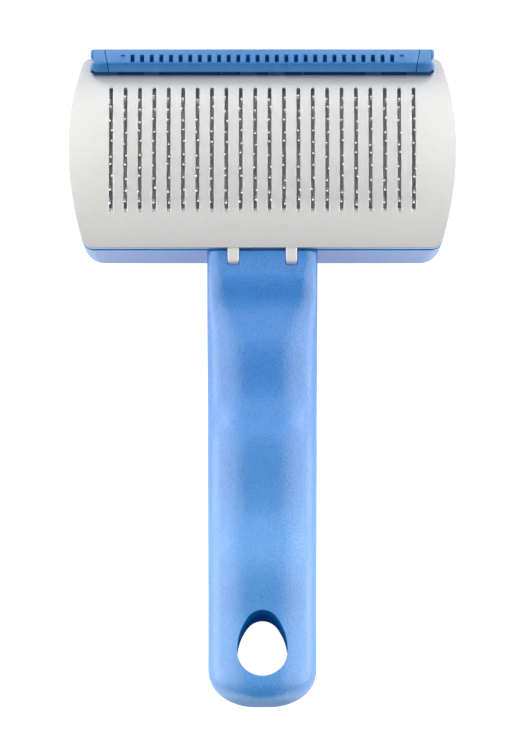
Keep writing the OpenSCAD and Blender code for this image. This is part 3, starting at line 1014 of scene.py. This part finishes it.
def notchCutter(deep):
    w = rail["notchWidth"] / 2
    low, high = [
        tuple(c + (t - c) * part for c, t in zip(ridge, webTop)) for part in rail["notchRun"]
    ]

    def off(p, rise):
        return (p[0] + webOut[0] * rise, p[1] + webOut[1] * rise)

    over, clear = 0.1, 4  # just over the web, and well over it
    outline = [off(low, clear), off(low, over), off(low, -deep)]
    outline += [off(high, -deep * rail["notchFall"]), off(high, clear)]
    return newPiece("notchCutter", barX((-w, w), outline))


def pocketCutter(x0, x1):
    clear = 2
    lowZ, highZ = foot[1] + rail["pocketSill"], frontEdge[1] - rail["pocketLintel"]
    outline = [
        (foot[0] - clear, lowZ),
        (foot[0] + rail["pocketDepth"], lowZ),
        (frontEdge[0] + rail["pocketRoof"], highZ),
        (frontEdge[0] - clear, highZ),
    ]
    return newPiece("pocketCutter", barX((x0, x1), outline))


def paintFootShade(piece):
    # painted shade on the front wall that stands on the plate and on the floors of its pockets, and a dark
    # joint colour in the seams
    piece.data.materials.append(railFootShade)
    under, margin, seamReach = 0.1, 0.2, 1.0
    sideways, toHandle, level = 0.5, -0.5, 0.9  # limits of a face's direction
    topZ, backY = frontEdge[1] - under, foot[0] + rail["pocketDepth"] + margin
    for face in piece.data.polygons:
        x, y, z = face.center / mm
        inSeam = abs(abs(x) - rail["half"]) < seamReach and abs(face.normal.x) > sideways
        onFront = z < topZ and y < backY and (face.normal.y < toHandle or face.normal.z > level)
        if inSeam or onFront:
            face.material_index = 1


def makeRail():
    half, slant, b = rail["half"], rail["seamSlant"], rail["seamBevel"]
    rings = [railRing(-half, -slant, b), railRing(b - half, -slant)]
    rings += [railRing(half - b, slant), railRing(half, slant, b)]
    piece = newPiece("gripRail", loft(rings), railShadedPlastic)
    span = rail["notchPitch"] * (rail["notches"] + 1)
    for deep, count, pitch in (
        (rail["notchDepth"], rail["notches"], rail["notchPitch"]),
        (rail["markDepth"], 2, span),
    ):
        cutter = notchCutter(deep)
        values = {"Cutter": cutter, "Count": count, "Pitch": pitch * mm, "Material": railShadedPlastic}
        useGroup(piece, cutRow, values)
        drop(cutter)
    pockets = {pocket for x0, x1 in rail["pockets"] for pocket in ((x0, x1), (-x1, -x0))}
    carve(piece, "DIFFERENCE", *[pocketCutter(x0, x1) for x0, x1 in sorted(pockets)])
    paintFootShade(piece)
    return piece


def lobe(centre, radius, x0, x1, rounding):
    # a peg along X with a rounded end
    sides, steps = 32, 8
    sections = [(x0, radius)]
    for i in range(steps + 1):
        a = math.pi / 2 * i / steps
        sections.append((x1 - rounding * (1 - math.sin(a)), radius - rounding * (1 - math.cos(a))))
    return loft([[(x, y, z) for y, z in disc(*centre, r, sides)] for x, r in sections])


def makeCap(name, sx):
    half, slant, b = rail["half"], rail["seamSlant"], rail["seamBevel"]
    x1 = half + rail["cap"]
    start = half + rail["seamGap"]
    rings = [railRing(start, slant, b), railRing(start + b, slant)]
    wide, last = rail["capEnd"]
    rings += [railRing(x1 - wide, 0), railRing(x1 - last, 0, rail["capBevel"])]
    lobeX = half + rail["lobeStart"]
    frontLobe = lobe(lobeSpot, rail["lobeRadius"], lobeX, x1, rail["lobeRound"])
    lipLobe = lobe(lip, rail["lipRadius"] * rail["lipPeg"], lobeX, x1, rail["lipRound"])
    verts, faces = joined(loft(rings), frontLobe, lipLobe)
    piece = newPiece(name, ([(sx * x, y, z) for x, y, z in verts], faces), railShadedPlastic)
    paintFootShade(piece)
    return piece


gripRail = makeRail()
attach(gripRail, "plate")
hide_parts("grip_rail")
for side, sx in (("left", -1), ("right", 1)):
    cap = makeCap("railCap" + side.title(), sx)
    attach(cap, "plate")
    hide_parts("rail_cap_" + side)
print("stage: rail and caps")

# Wire pins in rows and columns

pins = {
    "rows": 10,
    "rowAngle": 2.43,
    "rootRadius": 64.33,
    "wire": 0.45,
    "tip": 0.62,
    "length": 6.2,
    "bend": 0.5,
    "neck": 0.3,
    "lean": 16.0,
    "jitter": 0.9,
    "swingShare": 0.6,
    "leanShare": 0.35,
    "seed": 7,
}


def pinShape():
    # one pin over the arch's axis: up through the pad, then bent towards the handle
    knee, length, bend, sides = head["plateRadius"], pins["length"], pins["bend"], 6
    lean = math.radians(pins["lean"])
    back, up = -math.sin(lean), math.cos(lean)
    wire, ball = pins["wire"] / 2, pins["tip"] / 2
    stations = [(0, pins["rootRadius"], wire), (0, knee - bend, wire), (bend / 2 * back, knee, wire)]
    stations += [(d * back, knee + d * up, wire) for d in (bend, length - pins["neck"])]
    ballTurns = (-35, 0, 35, 70)
    for turn in ballTurns:
        a = math.radians(turn)
        d = length + ball * math.sin(a)
        stations.append((d * back, knee + d * up, ball * math.cos(a)))
    return loft([[(px, py, z) for px, py in disc(0, y, r, sides)] for y, z, r in stations])


def makePinField():
    tree, given, result = newGroup(
        "Field of pins",
        "GeometryNodeTree",
        [
            ("Geometry", "NodeSocketGeometry"),
            ("Rows", "NodeSocketInt"),
            ("Columns", "NodeSocketInt"),
            ("Pitch", "NodeSocketFloat"),
            ("Row angle", "NodeSocketFloat"),
            ("Axis Y", "NodeSocketFloat"),
            ("Axis Z", "NodeSocketFloat"),
            ("Jitter", "NodeSocketFloat"),
            ("Seed", "NodeSocketInt"),
            ("Material", "NodeSocketMaterial"),
        ],
        [("Geometry", "NodeSocketGeometry")],
    )
    total = math1(tree, "MULTIPLY", given["Rows"], given["Columns"])
    line = addNode(
        tree,
        "GeometryNodeMeshLine",
        {"Count": total, "Offset": (0, 0, 0)},
        mode="OFFSET",
        count_mode="TOTAL",
    ).outputs[0]
    index = addNode(tree, "GeometryNodeInputIndex").outputs[0]
    row = math1(tree, "MODULO", index, given["Rows"])
    column = math1(tree, "FLOOR", math1(tree, "DIVIDE", index, given["Rows"]))

    def centred(place, count):
        middle = math1(tree, "MULTIPLY", math1(tree, "SUBTRACT", count, 1.0), 0.5)
        return math1(tree, "SUBTRACT", place, middle)

    x = math1(tree, "MULTIPLY", centred(column, given["Columns"]), given["Pitch"])
    turn = math1(tree, "MULTIPLY", centred(row, given["Rows"]), given["Row angle"])
    spot = addNode(
        tree, "ShaderNodeCombineXYZ", {"X": x, "Y": given["Axis Y"], "Z": given["Axis Z"]}
    ).outputs[0]
    points = addNode(tree, "GeometryNodeSetPosition", {"Geometry": line, "Position": spot}).outputs[0]
    low = math1(tree, "MULTIPLY", given["Jitter"], -1.0)

    def wobble(extra):
        seed = math1(tree, "ADD", given["Seed"], float(extra))
        return addNode(
            tree, "FunctionNodeRandomValue", {2: low, 3: given["Jitter"], "Seed": seed}, data_type="FLOAT"
        ).outputs[1]

    swing = math1(tree, "SUBTRACT", math1(tree, "MULTIPLY", wobble(0), pins["swingShare"]), turn)
    lean = math1(tree, "MULTIPLY", wobble(1), pins["leanShare"])
    euler = addNode(tree, "ShaderNodeCombineXYZ", {"X": swing, "Y": lean}).outputs[0]
    rotation = addNode(tree, "FunctionNodeEulerToRotation", {0: euler}).outputs[0]
    copies = addNode(
        tree,
        "GeometryNodeInstanceOnPoints",
        {"Points": points, "Instance": given["Geometry"], "Rotation": rotation},
    ).outputs[0]
    solid = addNode(tree, "GeometryNodeRealizeInstances", {"Geometry": copies}).outputs[0]
    tree.links.new(setMaterial(tree, solid, given["Material"]), result["Geometry"])
    return tree


pinField = newPiece("pinField", pinShape(), pinWire, sharp=60)
useGroup(
    pinField,
    makePinField(),
    {
        "Rows": pins["rows"],
        "Columns": slots["count"],
        "Pitch": slots["pitch"] * mm,
        "Row angle": math.radians(pins["rowAngle"]),
        "Axis Y": headY * mm,
        "Axis Z": archZ * mm,
        "Jitter": math.radians(pins["jitter"]),
        "Seed": pins["seed"],
        "Material": pinWire,
    },
    sharp=60,
)
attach(pinField, "body")
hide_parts(*["pin_column_%02d" % (k + 1) for k in range(slots["count"])])
print("stage: pins")


# Screws in the back

def makeScrewShape():
    # rings from the domed head along the thread to the point
    r, h, s, length = screw["head"] / 2, screw["headHeight"], screw["shank"] / 2, screw["length"]
    root, rootRun = screw["root"]
    point, pointRun = screw["point"]
    middle, sides = 0.3, 20
    profile = [(middle, -h)] + [(r * across, -h * up) for across, up in screw["dome"]]
    profile += [(r, 0), (s, 0)]
    for i in range(screw["turns"]):
        z = length * (i + 0.5) / screw["turns"]
        profile += [(s, z - screw["crest"]), (s * root, z + rootRun)]
    profile += [(s * point, length - pointRun), (middle, length)]
    return loft([[(x, y, z) for x, y in disc(0, 0, rr, sides)] for rr, z in profile])


def makeScrewSet():
    tree, given, result = newGroup(
        "Screws at points",
        "GeometryNodeTree",
        [
            ("Geometry", "NodeSocketGeometry"),
            ("Screw", "NodeSocketObject"),
            ("Seed", "NodeSocketInt"),
            ("Material", "NodeSocketMaterial"),
        ],
        [("Geometry", "NodeSocketGeometry")],
    )
    shape = addNode(tree, "GeometryNodeObjectInfo", {"Object": given["Screw"]}).outputs["Geometry"]
    turn = addNode(
        tree,
        "FunctionNodeRandomValue",
        {2: 0.0, 3: screw["mostTurn"], "Seed": given["Seed"]},
        data_type="FLOAT",
    ).outputs[1]
    euler = addNode(tree, "ShaderNodeCombineXYZ", {"Z": turn}).outputs[0]
    rotation = addNode(tree, "FunctionNodeEulerToRotation", {0: euler}).outputs[0]
    copies = addNode(
        tree,
        "GeometryNodeInstanceOnPoints",
        {"Points": given["Geometry"], "Instance": shape, "Rotation": rotation},
    ).outputs[0]
    solid = addNode(tree, "GeometryNodeRealizeInstances", {"Geometry": copies}).outputs[0]
    tree.links.new(setMaterial(tree, solid, given["Material"]), result["Geometry"])
    return tree


oneScrew = newPiece("oneScrew", makeScrewShape(), brightSteel)
crossBars = []
for long, wide in (screw["cross"], screw["cross"][::-1]):
    outline = [(-long, -wide), (long, -wide), (long, wide), (-long, wide)]
    crossBars.append(newPiece("crossBar", columnZ(outline, *screw["crossZ"])))
carve(oneScrew, "DIFFERENCE", *crossBars)
screwSet = makeScrewSet()
for name, node, places, z in (
    ("baseScrews", "base_screws", baseScrews, baseHeadZ),
    ("coverScrews", "cover_screws", coverScrews, coverHeadZ),
):
    piece = newPiece(name, ([(x, y, z) for x, y in places], []), brightSteel)
    useGroup(piece, screwSet, {"Screw": oneScrew, "Seed": len(places), "Material": brightSteel})
    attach(piece, "body")
    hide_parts(node)
drop(oneScrew)
print("stage: screws")

# Inner pieces keep the frame's own shape

innerSharp = 30  # degrees
for node, material in (("pin_base", greyPlastic), ("pin_pad", padRubber), ("hinge_rod", brightSteel)):
    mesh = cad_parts[node].data
    mesh.materials.clear()
    mesh.materials.append(material)
    mesh.shade_smooth()
    mesh.set_sharp_from_angle(angle=math.radians(innerSharp))
print("stage: inner pieces")

# Room, light and camera

room = {
    "sky": 0.03,
    "floor": 0.8,
    "floorHalf": 900.0,
    "floorZ": -0.05,
    "floorShine": 0.65,
    "floorDark": 8.0,
    "floorLight": 15.0,
}
# places of the camera and the lights are in metres
shot = {"lens": 456.0, "tilt": 13.0, "distance": 2.5, "nearest": 0.05, "aim": (-0.00158, 0.00390, 0.010)}
lightAim = (0.0, -0.02, 0.015)
# name, place, size and watts; those beside the brush stand on both sides
lights = [
    ("Top", (0.0, 0.0, 1.2), (0.9, 0.5), 0.2),
    ("Far", (0.0, 0.600, 1.039), (1.0, 0.3), 1.45),
    ("Side low", (0.886, -0.03, 0.156), (0.9, 0.3), 3.1),
    ("Side middle", (0.689, -0.03, 0.579), (0.9, 0.3), 1.79),
    ("Side high", (0.423, -0.03, 0.795), (0.9, 0.3), 1.38),
    ("Handle end", (0.5, -0.55, 0.3), (0.5, 0.4), 0.46),
    ("Head end", (0.5, 0.6, 0.3), (0.5, 0.4), 2.6),
]


def makeFloor():
    # white to the camera, and to what is glossy a soft white glow beside the brush, dark under it: a
    # painted reflection
    half = room["floorHalf"]
    corners = [(sx * half, sy * half, room["floorZ"]) for sx, sy in ((-1, -1), (1, -1), (1, 1), (-1, 1))]
    floor = newPiece("floor", (corners, [(0, 1, 2, 3)]))
    material = bpy.data.materials.new("Floor")
    material.use_nodes = True
    tree = material.node_tree
    shader = tree.nodes["Principled BSDF"]
    shader.inputs["Base Color"].default_value = (room["floor"], room["floor"], room["floor"], 1)
    shader.inputs["Roughness"].default_value = 1.0
    shader.inputs["Specular IOR Level"].default_value = 0.0
    shader.inputs["Emission Color"].default_value = (1, 1, 1, 1)
    path = addNode(tree, "ShaderNodeLightPath").outputs
    place = addNode(tree, "ShaderNodeTexCoord").outputs["Object"]
    across = addNode(tree, "ShaderNodeSeparateXYZ", {0: place}).outputs["X"]
    beside = spread(
        tree,
        math1(tree, "ABSOLUTE", across),
        over=(room["floorDark"] * mm, room["floorLight"] * mm),
        to=(0.0, room["floorShine"]),
        eased=True,
    )
    shine = math1(tree, "MULTIPLY", path["Is Glossy Ray"], beside)
    seen = math1(tree, "MAXIMUM", path["Is Camera Ray"], shine)
    tree.links.new(seen, shader.inputs["Emission Strength"])
    floor.data.materials.append(material)


def makeSky():
    world = bpy.data.worlds.new("Studio")
    scene.world = world
    world.use_nodes = True
    tree = world.node_tree
    seen = addNode(tree, "ShaderNodeLightPath").outputs["Is Camera Ray"]
    strength = addNode(tree, "ShaderNodeMix", {0: seen, 2: room["sky"], 3: 1.0}).outputs[0]
    background = tree.nodes["Background"]
    background.inputs["Color"].default_value = (1, 1, 1, 1)
    tree.links.new(strength, background.inputs["Strength"])


def makeLight(name, place, size, power):
    data = bpy.data.lights.new(name, "AREA")
    data.shape = "RECTANGLE"
    data.size, data.size_y = size
    data.energy = power
    light = bpy.data.objects.new(name, data)
    light.location = place
    back = [p - a for p, a in zip(place, lightAim)]
    flat = math.hypot(back[0], back[1])
    light.rotation_euler = (math.atan2(flat, back[2]), 0, math.atan2(back[0], -back[1]))
    scene.collection.objects.link(light)


def makeCamera():
    data = bpy.data.cameras.new("Camera")
    data.lens = shot["lens"]
    data.clip_start = shot["nearest"]
    camera = bpy.data.objects.new("Camera", data)
    tilt, away = math.radians(shot["tilt"]), shot["distance"]
    x, y, z = shot["aim"]
    camera.location = (x, y - away * math.sin(tilt), z + away * math.cos(tilt))
    camera.rotation_euler = (tilt, 0, 0)
    scene.collection.objects.link(camera)
    scene.camera = camera


makeFloor()
makeSky()
for name, (x, y, z), size, power in lights:
    for sx in (-1, 1) if x else (1,):
        makeLight(name, (sx * x, y, z), size, power)
makeCamera()
scene.view_settings.view_transform = "Standard"
print("stage: room and camera")
